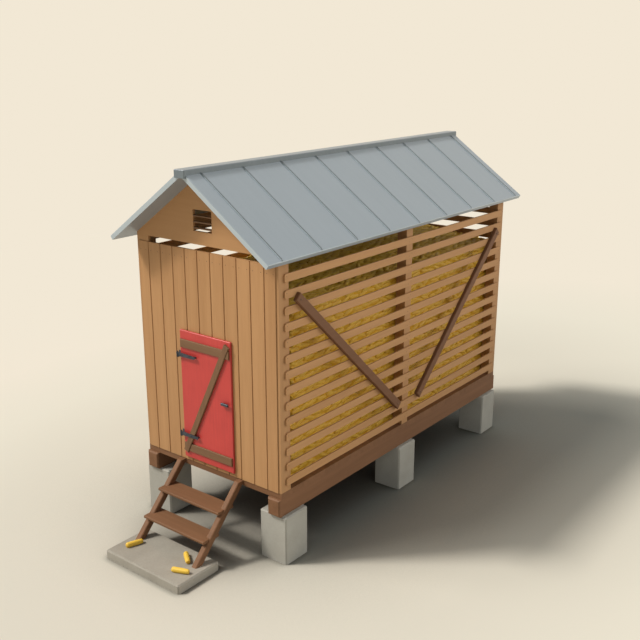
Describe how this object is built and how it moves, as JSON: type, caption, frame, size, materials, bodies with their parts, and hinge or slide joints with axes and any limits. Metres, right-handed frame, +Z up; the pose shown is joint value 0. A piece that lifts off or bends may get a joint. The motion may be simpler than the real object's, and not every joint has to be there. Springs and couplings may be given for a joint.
{
  "type": "corn crib",
  "caption": "Slatted timber crib for drying ear corn, raised on skids and concrete piers, with a hinged braced door, short steps and a ribbed gable roof.",
  "frame": {"origin": "centre of the footprint of the whole part, pad included, at ground level", "axes": "+X right along the front wall seen from in front, +Y back along the crib, +Z up; the front faces -Y"},
  "size_m": [1.7766, 4.7882, 3.2641],
  "materials": {
    "concrete": "cast concrete, matt",
    "brown_timber": "sawn, oiled, matt",
    "dark_timber": "sawn, stained, matt",
    "tan_timber": "sawn softwood, matt",
    "roof_metal": "painted sheet, satin",
    "red_paint": "painted boards, satin",
    "iron": "black forged iron, satin",
    "stone": "dressed stone, matt",
    "corn": "dry ears of corn, satin"
  },
  "bodies": {
    "crib": {"braces_left": "dark_timber", "braces_right": "dark_timber", "corn_heap": "corn", "fallen_ears": "corn", "floor_deck": "brown_timber", "front_rail": "tan_timber", "front_wall_left": "tan_timber", "front_wall_over_door": "tan_timber", "front_wall_right": "tan_timber", "front_wall_sill": "tan_timber", "gable_back": "tan_timber", "gable_front": "tan_timber", "hinge_pintles": "iron", "louvre_back": "dark_timber", "louvre_front": "dark_timber", "pier_back_left": "concrete", "pier_back_right": "concrete", "pier_front_left": "concrete", "pier_front_right": "concrete", "pier_mid_left": "concrete", "pier_mid_right": "concrete", "plate_left": "tan_timber", "plate_right": "tan_timber", "post_back_left": "tan_timber", "post_back_right": "tan_timber", "post_front_left": "tan_timber", "post_front_right": "tan_timber", "post_mid_left": "tan_timber", "post_mid_right": "tan_timber", "ridge_cap": "roof_metal", "roof_left": "roof_metal", "roof_right": "roof_metal", "skid_left": "brown_timber", "skid_right": "brown_timber", "slats_back": "tan_timber", "slats_left": "tan_timber", "slats_right": "tan_timber", "step_pad": "stone", "step_treads": "brown_timber", "stringer_left": "brown_timber", "stringer_right": "brown_timber"},
    "door": {"door_panel": "red_paint", "door_ledges": "dark_timber", "door_brace": "dark_timber", "door_straps": "iron", "door_latch": "iron"}
  },
  "joints": [
    {"name": "door_hinge", "type": "hinge", "parent": "crib", "child": "door", "pos_m": [-0.309, -1.59292, 1.278], "axis": [0, 0, -1], "range_deg": [0, 110]}
  ]
}
